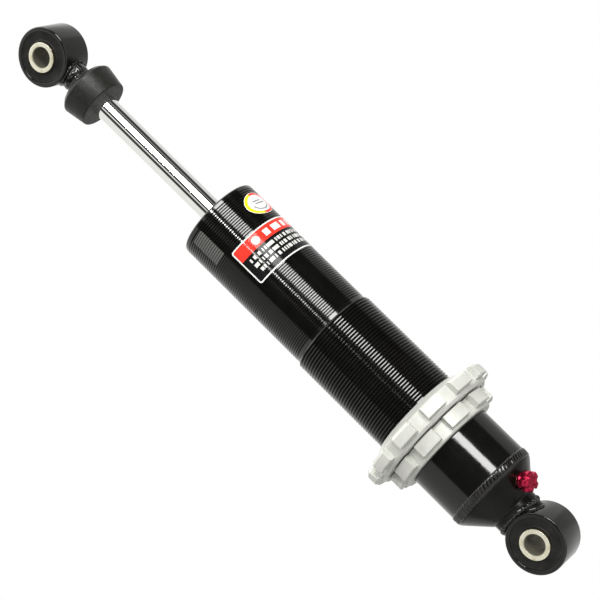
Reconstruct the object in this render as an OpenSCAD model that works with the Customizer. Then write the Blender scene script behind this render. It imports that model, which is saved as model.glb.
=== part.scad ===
// Coil-over gas shock absorber, shown without its coil spring: a threaded damper body with
// its spring preload rings, a chromed shaft, and a rubber-bushed mounting eye at each end.
// +Z runs up the shock's axis from the lower eye (origin) to the upper eye, and both eye
// bores lie along Y. The shaft is fully extended.

/* [Eyes] */
// Distance between the two eye centres, shaft fully extended
eye_to_eye = 342; // [340:1:350]
// Outside diameter of each eye ring
eye_d = 30.6; // [30:0.2:31]
// Width of each eye ring along its bore
eye_w = 18.4; // [17:0.2:19]
// Wall thickness of each eye ring
eye_wall = 2.3; // [2:0.1:2.5]
// Outside diameter of the steel sleeves
sleeve_d = 15.5; // [15:0.1:16]
// Bolt hole through each sleeve
bolt_d = 10.2; // [10.2:0.1:11]
// Length of each sleeve
sleeve_len = 20.4; // [20:0.2:21]

/* [Damper body] */
// Outside diameter of the tube and of its thread crests
tube_d = 46.4; // [46.2:0.1:46.6]
// Outside diameter of the turned-down upper part of the tube
fine_d = 44.2; // [44:0.1:44.4]
// Inside diameter of the tube
bore_d = 38; // [38:0.1:38.2]
// Height of the tube's top edge
tube_top = 220.2; // [219:0.1:221]
// Height where the full thread ends and the turned-down part begins
thread_top = 139.6; // [138:0.1:141]
// Pitch of the thread that carries the two rings
thread_pitch = 1.6; // [1.5:0.05:1.7]

/* [Shaft] */
// Diameter of the chromed shaft
shaft_d = 12.5; // [12.4:0.1:12.6]
// Travel of the shaft from full extension to full compression
stroke = 80; // [70:1:82]

/* [Preload rings] */
// Outside diameter over the lugs of the spring collar
collar_d = 75.5; // [74:0.5:77]
// Number of lugs on the spring collar
collar_lugs = 12; // [8:1:14]
// Width of a collar lug in degrees
collar_lug_arc = 18.5; // [14:0.5:20]
// Outside diameter over the lugs of the lock ring
lock_d = 62; // [61:0.5:63]
// Number of lugs on the lock ring
lock_lugs = 10; // [8:1:12]
// Width of a lock ring lug in degrees
lock_lug_arc = 23.5; // [18:0.5:24]

/* [Gas valve] */
// Direction of the valve round the body, in degrees from +X
valve_azimuth = -17; // [-30:1:20]
// Lean of the valve away from the shock's axis, square to the cone
valve_lean = 48; // [46:1:50]

/* [Labels] */
// Direction of the middle of the main label, in degrees from +X
label_azimuth = -16; // [-30:1:30]
// How far the main label wraps round the body, in degrees
label_arc = 129; // [90:1:140]
// Direction of the round sticker, in degrees from +X
sticker_azimuth = 1; // [-30:0.5:30]
// Direction of the small code patch, in degrees from +X
patch_azimuth = -97.5; // [-120:0.5:-85]

/* [Hidden] */
$fn = 96;

long = 400;                      // longer than any hole or cut in the part

tube_r = tube_d / 2;
fine_r = fine_d / 2;
bore_r = bore_d / 2;
shaft_r = shaft_d / 2;
run_gap = 0.05;                  // radial clearance of a sliding fit
ring_gap = 0.08;                 // radial clearance of the two rings on the thread crests
sliding_r = bore_r - run_gap;    // outside of everything that slides in the tube

// end cap and girth weld
joint_z = 33.6;                  // where tube and end cap meet
weld_half = 2.2;                 // half height of the weld groove
weld_root_r = 21.4;
weld_crown = 0.4;                // how far the bead stands proud
cone_top_z = 30.6;
cone_top_r = 22.8;
cone_low_z = 19.7;
cone_low_r = 12.9;
neck_r = 12;
neck_square_z = 13.2;            // below this the neck is no wider than the eye ring
cavity_cone_z = 31;
cavity_low_z = 22.5;
cavity_low_r = 9;

// thread form
thread_z = 62.6;                 // bottom of the thread
thread_depth = 0.92;
crest_part = 0.22;               // share of the pitch that is crest
flank_part = 0.3;                // share of the pitch that is each flank
turns = floor((thread_top - 1.2 - thread_z) / thread_pitch);

// seal head stack at the top of the tube
head_low = 196;
head_top = 217;
head_oring_z = 206;
bush_low = 198;
bush_top = 210;
bush_wall = 1;
rod_seal_low = 210.8;
rod_seal_top = 213.6;
rod_seal_r = 9.6;
wiper_low = 214.6;
wiper_top = 218.4;
wiper_r = 9.2;
clip_low = 217;
clip_h = 1.4;
clip_groove_r = 20;
oring_w = 2;                     // section of the seal head and floating piston O-rings

band_t = 1.4;                    // thickness of the wear bands
groove_gap = 0.12;               // clearance between a band or O-ring and its groove

// preload collar
collar_low = 69.9;
collar_top = 82.6;
collar_seat_z = 78.8;            // the flat that the spring stands on
collar_seat_r = 32.4;            // foot of the cone that centres the spring
collar_band_r = 34.1;            // floor between the lugs
collar_lug_low = 72.1;
collar_phase = 13;
collar_oring_z = 76.4;
lug_bevel = 1.5;

// lock ring
lock_low = 60.8;
lock_top = 69.3;
lock_band_r = 27.4;
lock_lug_low = 62.4;
lock_phase = 1.2;
lock_oring_z = 66;
lock_bevel = 0.6;
ring_oring_r = 0.7;              // section radius of the O-rings inside the two rings
ring_bore_r = tube_r + ring_gap;

// shaft and piston stack, from the shoulder down
spigot_r = 5;
shoulder_z = 189;
bumper_top = 195.6;
spacer_h = 4.4;
washer_h = 1.2;
shim_h = 0.25;
shim_n = 4;
piston_h = 14;
piston_r = 18.6;
nut_h = 6.2;
nut_af = 15;
spacer_low = shoulder_z - spacer_h;
reb_washer_low = spacer_low - washer_h;
reb_shims_low = reb_washer_low - shim_n * shim_h;
piston_low = reb_shims_low - piston_h;
comp_shims_low = piston_low - shim_n * shim_h;
comp_washer_low = comp_shims_low - washer_h;
nut_low = comp_washer_low - nut_h;
piston_band_h = 8;
piston_band_low = piston_low + (piston_h - piston_band_h) / 2;
port_r = 2;                      // oil ports through the piston
port_pitch_r = 11.5;
port_n = 6;

// floating piston, clear of the piston nut when the shaft is fully in
fp_top = nut_low - stroke - 14;
fp_low = fp_top - 16;
fp_cup_r = 13;
fp_floor = 5;
fp_oring_z = fp_top - 4.5;
fp_band_low = fp_low + 2.4;
fp_band_h = 5;

// bump stop
stop_low = eye_to_eye - 38;
stop_top = eye_to_eye - 22.6;
stop_low_r = 13.45;
stop_max_r = 15.4;
stop_max_z = eye_to_eye - 25.8;
stop_top_r = 11;
stop_edge_r = 13.4;
stop_edge_z = stop_top - 1.1;

// upper eye neck
upper_neck_r = 7.8;
upper_neck_z = stop_top;
shaft_thread_top = eye_to_eye - 14.4;

// eyes
ring_in_r = eye_d / 2 - eye_wall;
bush_w = eye_w - 0.6;
bolt_bevel = 0.5;

// valve, along its own axis from its seat in the cone outwards
valve_z = 24.8;
valve_r = cone_low_r + (valve_z - cone_low_z) * (cone_top_r - cone_low_r) / (cone_top_z - cone_low_z);
valve_seat = 0.9;                // depth of the flat seat in the cone
flange_r = 3.3;
flange_t = 0.5;
stub_r = 3;
stub_len = 3.8;
stem_r = 2.55;
stem_len = 5.4;
valve_hole_r = 1.25;
pin_r = 0.7;
pin_low = -2.6;
pin_top = 4.7;
cap_len = 7.8;
cap_foot_r = 3.8;
cap_foot_top = 2.5;
cap_waist_r = 3.5;
cap_waist_top = 3;
cap_head_r = 5.1;
cap_bore_r = stem_r + 0.08;
cap_bore_top = 5.8;
cap_notches = 5;
cap_notch_r = 1.9;
cap_oring_z = 1.7;
cap_oring_r = 0.4;

// labels
label_t = 0.12;
label_low = 176.1;
label_top = 197;
sticker_z = 207.7;
sticker_r = 6.8;                 // half its length along the tube
sticker_across = 9.5;            // half its width across the tube
patch_low = 199.6;
patch_top = 216.1;
patch_arc = 22;

// ---------- shared shapes ----------

module ring(r_out, r_in, z0, z1) {
    translate([0, 0, z0])
        difference() {
            cylinder(r = r_out, h = z1 - z0);
            translate([0, 0, -1])
                cylinder(r = r_in, h = z1 - z0 + 2);
        }
}

module oring(mid_r, z, section_r) {
    translate([0, 0, z])
        rotate_extrude()
            translate([mid_r, 0])
                circle(r = section_r, $fn = 24);
}

module along_y(r, w) {
    rotate([90, 0, 0])
        translate([0, 0, -w / 2])
            cylinder(r = r, h = w);
}

module eye_bush() {
    difference() {
        along_y(ring_in_r, bush_w);
        along_y(sleeve_d / 2, bush_w + 2);
    }
}

module eye_sleeve() {
    hole_r = bolt_d / 2;
    half = sleeve_len / 2;
    rotate([90, 0, 0])
        rotate_extrude()
            polygon([
                [hole_r, -half + bolt_bevel],
                [hole_r + bolt_bevel, -half],
                [sleeve_d / 2, -half],
                [sleeve_d / 2, half],
                [hole_r + bolt_bevel, half],
                [hole_r, half - bolt_bevel]
            ]);
}

module eye_shell() {
    difference() {
        along_y(eye_d / 2, eye_w);
        along_y(ring_in_r, eye_w + 2);
    }
}

// A wedge of the ring between two radii, centred on an azimuth
module sector(arc, r) {
    rotate([0, 0, -arc / 2])
        rotate_extrude(angle = arc)
            square([r, long]);
}

// Puts its children on the valve's axis: their z = 0 is on its seat, +z points outwards
module on_valve() {
    rotate([0, 0, valve_azimuth])
        translate([valve_r, 0, valve_z])
            rotate([0, 180 - valve_lean, 0])
                translate([0, 0, -valve_seat])
                    children();
}

// ---------- damper body ----------

function thread_turn(z0) = [
    [tube_r, z0],
    [tube_r - thread_depth, z0 + flank_part * thread_pitch],
    [tube_r - thread_depth, z0 + (1 - flank_part - crest_part) * thread_pitch],
    [tube_r, z0 + (1 - crest_part) * thread_pitch]
];

thread_points = [for (i = [0 : turns - 1]) each thread_turn(thread_z + i * thread_pitch)];

module body_tube() {
    color([0.06, 0.06, 0.07])
        difference() {
            rotate_extrude()
                polygon(concat(
                    [
                        [bore_r, joint_z],
                        [weld_root_r, joint_z],
                        [tube_r, joint_z + weld_half]
                    ],
                    thread_points,
                    [
                        [tube_r, thread_top - 0.8],
                        [fine_r, thread_top],
                        [fine_r, tube_top - 1.2],
                        [fine_r - 0.9, tube_top],
                        [bore_r, tube_top]
                    ]
                ));
            ring(clip_groove_r, bore_r - 1, clip_low, clip_low + clip_h);
        }
}

module girth_weld() {
    color([0.08, 0.08, 0.09])
        rotate_extrude()
            polygon([
                [weld_root_r, joint_z],
                [tube_r, joint_z - weld_half],
                [tube_r + weld_crown, joint_z - weld_half * 0.6],
                [tube_r + weld_crown, joint_z + weld_half * 0.6],
                [tube_r, joint_z + weld_half]
            ]);
}

module end_cap_blank() {
    rotate_extrude()
        polygon([
            [0, neck_square_z],
            [neck_r, neck_square_z],
            [neck_r, cone_low_z - 0.8],
            [cone_low_r, cone_low_z],
            [cone_top_r, cone_top_z],
            [tube_r, joint_z - weld_half],
            [weld_root_r, joint_z],
            [bore_r, joint_z],
            [bore_r, cavity_cone_z],
            [cavity_low_r, cavity_low_z],
            [0, cavity_low_z]
        ]);
    intersection() {
        cylinder(r = neck_r, h = neck_square_z);
        translate([-neck_r, -eye_w / 2, 0])
            cube([2 * neck_r, eye_w, neck_square_z]);
    }
}

module end_cap() {
    color([0.07, 0.07, 0.08])
        difference() {
            end_cap_blank();
            along_y(eye_d / 2, long);
            on_valve() {
                translate([0, 0, -stub_len])
                    cylinder(r = stub_r, h = stub_len + 1);
                cylinder(r = cap_foot_r + 0.4, h = long);
            }
        }
}

module lower_eye_ring() {
    color([0.07, 0.07, 0.08])
        eye_shell();
}

module lower_eye_bush() {
    color([0.1, 0.1, 0.1])
        eye_bush();
}

module lower_eye_sleeve() {
    color([0.78, 0.74, 0.55])
        eye_sleeve();
}

module seal_head() {
    groove_in = bore_r - oring_w + 0.3;
    color([0.2, 0.2, 0.22])
        difference() {
            ring(bore_r, shaft_r + bush_wall + run_gap, head_low, head_top);
            ring(bore_r + 1, groove_in, head_oring_z - oring_w / 2, head_oring_z + oring_w / 2);
            ring(rod_seal_r, 1, rod_seal_low, rod_seal_top);
            ring(wiper_r, 1, wiper_low, head_top + 1);
            ring(shaft_r + bush_wall + 0.4, 1, bush_top, rod_seal_low + 1);
        }
}

module seal_head_oring() {
    section_r = (oring_w - 0.3) / 2;
    color([0.05, 0.05, 0.05])
        oring(bore_r - section_r, head_oring_z, section_r);
}

module rod_bush() {
    color([0.62, 0.52, 0.3])
        ring(shaft_r + bush_wall + run_gap, shaft_r + run_gap, bush_low, bush_top);
}

module rod_seal() {
    color([0.1, 0.1, 0.12])
        ring(rod_seal_r, shaft_r + run_gap, rod_seal_low, rod_seal_top);
}

module rod_wiper() {
    lip_r = shaft_r + run_gap;
    color([0.08, 0.08, 0.09])
        rotate_extrude()
            polygon([
                [lip_r, wiper_low],
                [wiper_r, wiper_low],
                [wiper_r, head_top],
                [wiper_r - 0.8, head_top + 0.6],
                [lip_r + 0.7, wiper_top],
                [lip_r, wiper_top]
            ]);
}

module retaining_ring() {
    color([0.7, 0.7, 0.72])
        difference() {
            ring(clip_groove_r, bore_r - 1.4, clip_low, clip_low + clip_h);
            translate([bore_r - 3, -1.5, clip_low - 1])
                cube([6, 3, clip_h + 2]);
        }
}

module main_label() {
    color([0.75, 0.1, 0.1])
        rotate([0, 0, label_azimuth])
            intersection() {
                ring(fine_r + label_t, fine_r, label_low, label_top);
                sector(label_arc, fine_r + 2);
            }
}

module round_sticker() {
    color([0.9, 0.9, 0.88])
        rotate([0, 0, sticker_azimuth])
            intersection() {
                ring(fine_r + label_t, fine_r, sticker_z - 10, sticker_z + 10);
                translate([0, 0, sticker_z])
                    rotate([0, 90, 0])
                        linear_extrude(height = fine_r + 2)
                            polygon([for (a = [0 : 7.5 : 352.5]) [sticker_r * cos(a), sticker_across * sin(a)]]);
            }
}

module code_patch() {
    color([0.55, 0.55, 0.55])
        rotate([0, 0, patch_azimuth])
            intersection() {
                ring(fine_r + label_t, fine_r, patch_low, patch_top);
                sector(patch_arc, fine_r + 2);
            }
}

// ---------- floating piston ----------

module floating_piston() {
    groove_in = sliding_r - oring_w;
    color([0.75, 0.76, 0.78])
        difference() {
            translate([0, 0, fp_low])
                cylinder(r = sliding_r, h = fp_top - fp_low);
            translate([0, 0, fp_low - 1])
                cylinder(r = fp_cup_r, h = fp_top - fp_low - fp_floor + 1);
            ring(bore_r, groove_in, fp_oring_z - oring_w / 2, fp_oring_z + oring_w / 2);
            ring(bore_r, sliding_r - band_t, fp_band_low, fp_band_low + fp_band_h);
        }
}

module floating_piston_oring() {
    section_r = oring_w / 2;
    color([0.05, 0.05, 0.05])
        oring(sliding_r - section_r, fp_oring_z, section_r);
}

module floating_piston_band() {
    color([0.3, 0.25, 0.2])
        ring(sliding_r, sliding_r - band_t, fp_band_low, fp_band_low + fp_band_h);
}

// ---------- preload rings ----------

// One lug for every turn of the loop, bevelled at both ends
module lug_ring(count, arc, phase, floor_r, tip_r, z0, z1, bevel) {
    for (i = [0 : count - 1])
        rotate([0, 0, phase + i * 360 / count - arc / 2])
            rotate_extrude(angle = arc)
                polygon([
                    [floor_r - 1.5, z0],
                    [tip_r - bevel, z0],
                    [tip_r, z0 + bevel],
                    [tip_r, z1 - bevel],
                    [tip_r - bevel, z1],
                    [floor_r - 1.5, z1]
                ]);
}

module ring_oring_groove(z) {
    ring(ring_bore_r + 2 * ring_oring_r + groove_gap, ring_bore_r - 1,
        z - ring_oring_r - groove_gap, z + ring_oring_r + groove_gap);
}

module preload_collar() {
    color([0.8, 0.81, 0.79])
        difference() {
            union() {
                rotate_extrude()
                    polygon([
                        [ring_bore_r, collar_low],
                        [collar_band_r - 1.4, collar_low],
                        [collar_band_r, collar_low + 1.4],
                        [collar_band_r, collar_seat_z],
                        [collar_seat_r, collar_seat_z],
                        [ring_bore_r + 1, collar_top],
                        [ring_bore_r, collar_top]
                    ]);
                lug_ring(collar_lugs, collar_lug_arc, collar_phase, collar_band_r, collar_d / 2,
                    collar_lug_low, collar_seat_z, lug_bevel);
            }
            ring_oring_groove(collar_oring_z);
        }
}

module collar_oring() {
    color([0.05, 0.05, 0.05])
        oring(ring_bore_r + ring_oring_r, collar_oring_z, ring_oring_r);
}

module lock_ring() {
    color([0.8, 0.81, 0.79])
        difference() {
            union() {
                rotate_extrude()
                    polygon([
                        [ring_bore_r, lock_low],
                        [lock_band_r - 0.8, lock_low],
                        [lock_band_r, lock_low + 0.8],
                        [lock_band_r, lock_top],
                        [ring_bore_r, lock_top]
                    ]);
                lug_ring(lock_lugs, lock_lug_arc, lock_phase, lock_band_r, lock_d / 2,
                    lock_lug_low, lock_top, lock_bevel);
            }
            ring_oring_groove(lock_oring_z);
        }
}

module lock_ring_oring() {
    color([0.05, 0.05, 0.05])
        oring(ring_bore_r + ring_oring_r, lock_oring_z, ring_oring_r);
}

// ---------- shaft and piston ----------

module shaft() {
    color([0.85, 0.86, 0.88])
        rotate_extrude()
            polygon([
                [0, nut_low - 1],
                [spigot_r - 0.6, nut_low - 1],
                [spigot_r, nut_low - 0.4],
                [spigot_r, shoulder_z],
                [shaft_r, shoulder_z],
                [shaft_r, upper_neck_z],
                [spigot_r, upper_neck_z],
                [spigot_r, shaft_thread_top - 0.6],
                [spigot_r - 0.6, shaft_thread_top],
                [0, shaft_thread_top]
            ]);
}

module bump_stop() {
    color([0.22, 0.22, 0.22])
        rotate_extrude()
            polygon([
                [shaft_r, stop_low],
                [stop_low_r - 0.4, stop_low],
                [stop_low_r, stop_low + 0.4],
                [stop_max_r, stop_max_z],
                [stop_edge_r, stop_edge_z],
                [stop_top_r, stop_top],
                [shaft_r, stop_top]
            ]);
}

module topout_bumper() {
    color([0.15, 0.12, 0.1])
        ring(11, shaft_r, shoulder_z, bumper_top);
}

module topout_spacer() {
    color([0.7, 0.7, 0.72])
        ring(9, spigot_r, spacer_low, shoulder_z);
}

module rebound_washer() {
    color([0.6, 0.6, 0.62])
        ring(8, spigot_r, reb_washer_low, spacer_low);
}

module rebound_shims() {
    color([0.55, 0.56, 0.6])
        for (i = [0 : shim_n - 1])
            ring(13.5 - i, spigot_r, reb_shims_low + i * shim_h, reb_shims_low + (i + 1) * shim_h);
}

module piston() {
    color([0.75, 0.75, 0.72])
        difference() {
            ring(piston_r, spigot_r, piston_low, reb_shims_low);
            ring(bore_r, sliding_r - band_t - groove_gap, piston_band_low - groove_gap,
                piston_band_low + piston_band_h + groove_gap);
            for (i = [0 : port_n - 1])
                rotate([0, 0, i * 360 / port_n])
                    translate([port_pitch_r, 0, piston_low - 1])
                        cylinder(r = port_r, h = piston_h + 2, $fn = 24);
        }
}

module piston_band() {
    color([0.35, 0.28, 0.2])
        ring(sliding_r, sliding_r - band_t, piston_band_low, piston_band_low + piston_band_h);
}

module compression_shims() {
    color([0.55, 0.56, 0.6])
        for (i = [0 : shim_n - 1])
            ring(13.5 - i, spigot_r, piston_low - (i + 1) * shim_h, piston_low - i * shim_h);
}

module compression_washer() {
    color([0.6, 0.6, 0.62])
        ring(8, spigot_r, comp_washer_low, comp_shims_low);
}

module piston_nut() {
    color([0.6, 0.6, 0.62])
        translate([0, 0, nut_low])
            difference() {
                cylinder(d = nut_af / cos(30), h = nut_h, $fn = 6);
                translate([0, 0, -1])
                    cylinder(r = spigot_r, h = nut_h + 2);
            }
}

module upper_eye_ring() {
    neck_h = eye_to_eye - upper_neck_z;
    color([0.07, 0.07, 0.08])
        difference() {
            union() {
                translate([0, 0, eye_to_eye])
                    along_y(eye_d / 2, eye_w);
                translate([0, 0, upper_neck_z])
                    cylinder(r = upper_neck_r, h = neck_h);
            }
            translate([0, 0, eye_to_eye])
                along_y(ring_in_r, eye_w + 2);
            translate([0, 0, upper_neck_z - 1])
                cylinder(r = spigot_r, h = shaft_thread_top - upper_neck_z + 1);
        }
}

module upper_eye_bush() {
    color([0.1, 0.1, 0.1])
        translate([0, 0, eye_to_eye])
            eye_bush();
}

module upper_eye_sleeve() {
    color([0.78, 0.74, 0.55])
        translate([0, 0, eye_to_eye])
            eye_sleeve();
}

// ---------- gas valve ----------

module valve_body() {
    color([0.75, 0.65, 0.4])
        on_valve()
            rotate_extrude()
                polygon([
                    [valve_hole_r, -stub_len],
                    [stub_r, -stub_len],
                    [stub_r, 0],
                    [flange_r, 0],
                    [flange_r, flange_t],
                    [stem_r, flange_t],
                    [stem_r, stem_len - 0.4],
                    [stem_r - 0.4, stem_len],
                    [valve_hole_r, stem_len]
                ]);
}

module valve_pin() {
    color([0.8, 0.75, 0.5])
        on_valve()
            translate([0, 0, pin_low])
                cylinder(r = pin_r, h = pin_top - pin_low, $fn = 24);
}

module valve_cap() {
    cap_low = flange_t + 0.05;
    color([0.72, 0.08, 0.2])
        on_valve()
            difference() {
                rotate_extrude()
                    polygon([
                        [cap_bore_r, cap_low],
                        [cap_foot_r - 0.4, cap_low],
                        [cap_foot_r, cap_low + 0.4],
                        [cap_foot_r, cap_foot_top - 0.4],
                        [cap_waist_r, cap_foot_top],
                        [cap_waist_r, cap_waist_top - 0.2],
                        [cap_head_r - 0.4, cap_waist_top],
                        [cap_head_r, cap_waist_top + 0.4],
                        [cap_head_r, cap_len - 0.8],
                        [cap_head_r - 0.8, cap_len],
                        [0, cap_len],
                        [0, cap_bore_top],
                        [cap_bore_r, cap_bore_top]
                    ]);
                ring(cap_bore_r + cap_oring_r + 0.15, cap_bore_r - 1,
                    cap_oring_z - cap_oring_r - 0.1, cap_oring_z + cap_oring_r + 0.1);
                for (i = [0 : cap_notches - 1])
                    rotate([0, 0, i * 360 / cap_notches])
                        translate([cap_head_r + 0.7, 0, cap_waist_top - 1])
                            cylinder(r = cap_notch_r, h = cap_len, $fn = 24);
            }
}

module valve_cap_oring() {
    color([0.05, 0.05, 0.05])
        on_valve()
            oring(stem_r + 0.06 + cap_oring_r / 2, cap_oring_z, cap_oring_r / 2);
}

body_tube();
girth_weld();
end_cap();
lower_eye_ring();
lower_eye_bush();
lower_eye_sleeve();
seal_head();
seal_head_oring();
rod_bush();
rod_seal();
rod_wiper();
retaining_ring();
main_label();
round_sticker();
code_patch();
floating_piston();
floating_piston_oring();
floating_piston_band();
preload_collar();
collar_oring();
lock_ring();
lock_ring_oring();
shaft();
bump_stop();
topout_bumper();
topout_spacer();
rebound_washer();
rebound_shims();
piston();
piston_band();
compression_shims();
compression_washer();
piston_nut();
upper_eye_ring();
upper_eye_bush();
upper_eye_sleeve();
valve_body();
valve_pin();
valve_cap();
valve_cap_oring();
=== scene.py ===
import math
import random

import bmesh
import bpy
from mathutils import Matrix, Vector

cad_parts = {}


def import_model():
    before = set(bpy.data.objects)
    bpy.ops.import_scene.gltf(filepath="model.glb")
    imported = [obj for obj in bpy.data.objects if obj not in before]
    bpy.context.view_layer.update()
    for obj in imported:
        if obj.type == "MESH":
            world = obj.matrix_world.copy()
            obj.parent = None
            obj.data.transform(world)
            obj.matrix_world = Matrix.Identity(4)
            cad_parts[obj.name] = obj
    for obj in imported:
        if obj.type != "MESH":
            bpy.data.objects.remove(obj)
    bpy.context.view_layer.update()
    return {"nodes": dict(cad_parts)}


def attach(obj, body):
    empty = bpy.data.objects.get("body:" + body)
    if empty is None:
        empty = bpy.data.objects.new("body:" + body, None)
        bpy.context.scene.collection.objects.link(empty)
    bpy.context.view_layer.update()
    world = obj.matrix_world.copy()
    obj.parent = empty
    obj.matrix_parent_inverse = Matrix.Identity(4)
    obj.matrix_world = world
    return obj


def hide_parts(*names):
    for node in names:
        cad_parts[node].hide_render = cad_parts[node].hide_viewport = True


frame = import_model()

MM = 0.001
TAU = 2 * math.pi

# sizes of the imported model, in millimetres
EYE_Z = 342.0
EYE_R, RING_IN_R, EYE_W, BUSH_W = 15.3, 13.0, 18.4, 17.8
SLEEVE_R, BOLT_R, SLEEVE_W = 7.75, 5.1, 20.4
TUBE_R, FINE_R, BORE_R = 23.2, 22.1, 19.0
JOINT_Z, THREAD_Z, THREAD_TOP, TUBE_TOP = 33.6, 62.6, 139.6, 220.2
CLIP_R, CLIP_LOW, CLIP_TOP = 20.0, 217.0, 218.4  # groove of the retaining ring inside the tube
WELD_ROOT_R = 21.4  # foot of the girth weld's groove
WELD_HALF, CONE_LOW, CONE_TOP = 2.2, (12.9, 19.7), (22.8, 30.6)
NECK_R, NECK_SIDE, NECK_ROUND_Z = 12.0, 9.1, 17.0  # the neck is narrow below that height
FLOOR_Z = 22.5  # floor of the hollow in the end cap
PITCH, DEPTH = 1.6, 0.92
FINE_PITCH, FINE_DEPTH, FINE_START = 1.28, 0.5, 141.4
SHAFT_R = 6.25
STOP_LOW, STOP_TOP = 304.0, 319.4
NECK_REACH = 14.2  # from the upper eye's centre to the end of its neck
RING_BORE_R = 23.28
STUB_R, STUB_LOW, FLANGE_R = 3.0, -3.8, 3.3
STICKER_R, STICKER_WIDE, STICKER_Z = 6.8, 1.44, 207.7
LABEL_THICK = 0.12


# ---------------------------------------------------------------- mesh tools

def mix(a, b, t):
    return a + (b - a) * t


def smooth(t):
    t = min(1.0, max(0.0, t))
    return t * t * (3 - 2 * t)


def polar(r, angle, z):
    return (r * math.cos(angle), r * math.sin(angle), z)


def circle(r, z, n):
    return [polar(r, TAU * j / n, z) for j in range(n)]


def fillet(corners, closed=True, steps=4):
    """Corner points (x, y, radius) as a list of points, each corner rounded."""
    out, n = [], len(corners)
    for i, (x, y, r) in enumerate(corners):
        if r <= 0 or (not closed and i in (0, n - 1)):
            out.append((x, y))
            continue
        p = Vector((x, y))
        a = Vector(corners[i - 1][:2]) - p
        b = Vector(corners[(i + 1) % n][:2]) - p
        la, lb = a.length, b.length
        a.normalize()
        b.normalize()
        half = a.angle(b) / 2
        reach = min(r / math.tan(half), 0.49 * la, 0.49 * lb)
        r = reach * math.tan(half)
        centre = p + (a + b).normalized() * (r / math.sin(half))
        start, end = p + a * reach - centre, p + b * reach - centre
        turn = start.angle_signed(end)
        for k in range(steps + 1):
            c, s = math.cos(-turn * k / steps), math.sin(-turn * k / steps)
            out.append((centre.x + start.x * c - start.y * s, centre.y + start.x * s + start.y * c))
    return out


def revolve(points, n):
    """Vertices and faces of a closed outline of (r, z) points turned about Z."""
    verts = [point for r, z in points for point in circle(r, z, n)]
    return verts, band_faces(len(points), n, True)


def band_faces(rows, n, closed):
    last = rows if closed else rows - 1
    return [
        (i * n + j, i * n + (j + 1) % n, (i + 1) % rows * n + (j + 1) % n, (i + 1) % rows * n + j)
        for i in range(last) for j in range(n)
    ]


def along_y(verts, z=0.0):
    """A shape turned about Z, laid down so that its axis is Y, at height z."""
    return [(x, -w, y + z) for x, y, w in verts]


def merged(*shapes):
    verts, faces = [], []
    for v, f in shapes:
        faces += [tuple(i + len(verts) for i in face) for face in f]
        verts += v
    return verts, faces


def mesh_of(name, verts, faces, up=0.0):
    """A mesh from millimetre vertices, measured from the height up."""
    mesh = bpy.data.meshes.new(name)
    mesh.from_pydata([(x * MM, y * MM, (z - up) * MM) for x, y, z in verts], [], faces)
    return mesh


def mend(mesh, degenerate):
    """Joins doubled points, turns all faces outwards and, if asked, drops faces of no area."""
    bm = bmesh.new()
    bm.from_mesh(mesh)
    bmesh.ops.remove_doubles(bm, verts=bm.verts, dist=1e-6)
    if degenerate:
        bmesh.ops.dissolve_degenerate(bm, edges=bm.edges, dist=1e-7)
    bmesh.ops.recalc_face_normals(bm, faces=bm.faces)
    bm.to_mesh(mesh)
    bm.free()


def shown(name, mesh):
    ob = bpy.data.objects.new(name, mesh)
    bpy.context.scene.collection.objects.link(ob)
    return ob


def shade(mesh, sharp):
    """Smooth shading, with edges sharper than that many degrees left crisp."""
    mesh.polygons.foreach_set("use_smooth", [True] * len(mesh.polygons))
    mesh.set_sharp_from_angle(angle=math.radians(sharp))


def piece(name, shape, body, stuff, nodes=(), sharp=32.0, up=0.0):
    """A shown piece from millimetre vertices, riding on a body in place of CAD nodes.

    Its origin is on the axis, at the height up.
    """
    mesh = mesh_of(name, *shape, up)
    mend(mesh, True)
    ob = shown(name, mesh)
    ob.location = (0, 0, up * MM)
    finish_piece(ob, body, stuff, nodes, sharp)
    return ob


def finish_piece(ob, body, stuff, nodes, sharp):
    mesh = ob.data
    shade(mesh, sharp)
    mesh.materials.clear()
    mesh.materials.append(stuff)
    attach(ob, body)
    if nodes:
        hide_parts(*nodes)


def cut(ob, verts, faces):
    """Takes a closed millimetre shape away from a piece."""
    mesh = mesh_of("cutter", verts, faces)
    mend(mesh, False)
    tool = shown("cutter", mesh)
    mod = ob.modifiers.new("cut", "BOOLEAN")
    mod.operation, mod.solver, mod.object = "DIFFERENCE", "EXACT", tool
    bpy.context.view_layer.update()
    made = bpy.data.meshes.new_from_object(ob.evaluated_get(bpy.context.evaluated_depsgraph_get()))
    ob.modifiers.clear()
    old = ob.data
    ob.data = made
    bpy.data.meshes.remove(old)
    bpy.data.objects.remove(tool)
    bpy.data.meshes.remove(mesh)


# ---------------------------------------------------------------- materials

class Tree:
    """Short names for making and joining shader nodes."""

    def __init__(self, tree):
        self.tree = tree

    def new(self, kind, **values):
        node = self.tree.nodes.new(kind)
        for key, value in values.items():
            setattr(node, key, value)
        return node

    def link(self, a, b):
        self.tree.links.new(a, b)

    def math(self, op, a, b=None, c=None):
        m = self.new("ShaderNodeMath", operation=op)
        for i, x in enumerate((a, b, c)):
            if x is None:
                continue
            if isinstance(x, (int, float)):
                m.inputs[i].default_value = x
            else:
                self.link(x, m.inputs[i])
        return m.outputs[0]


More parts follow.
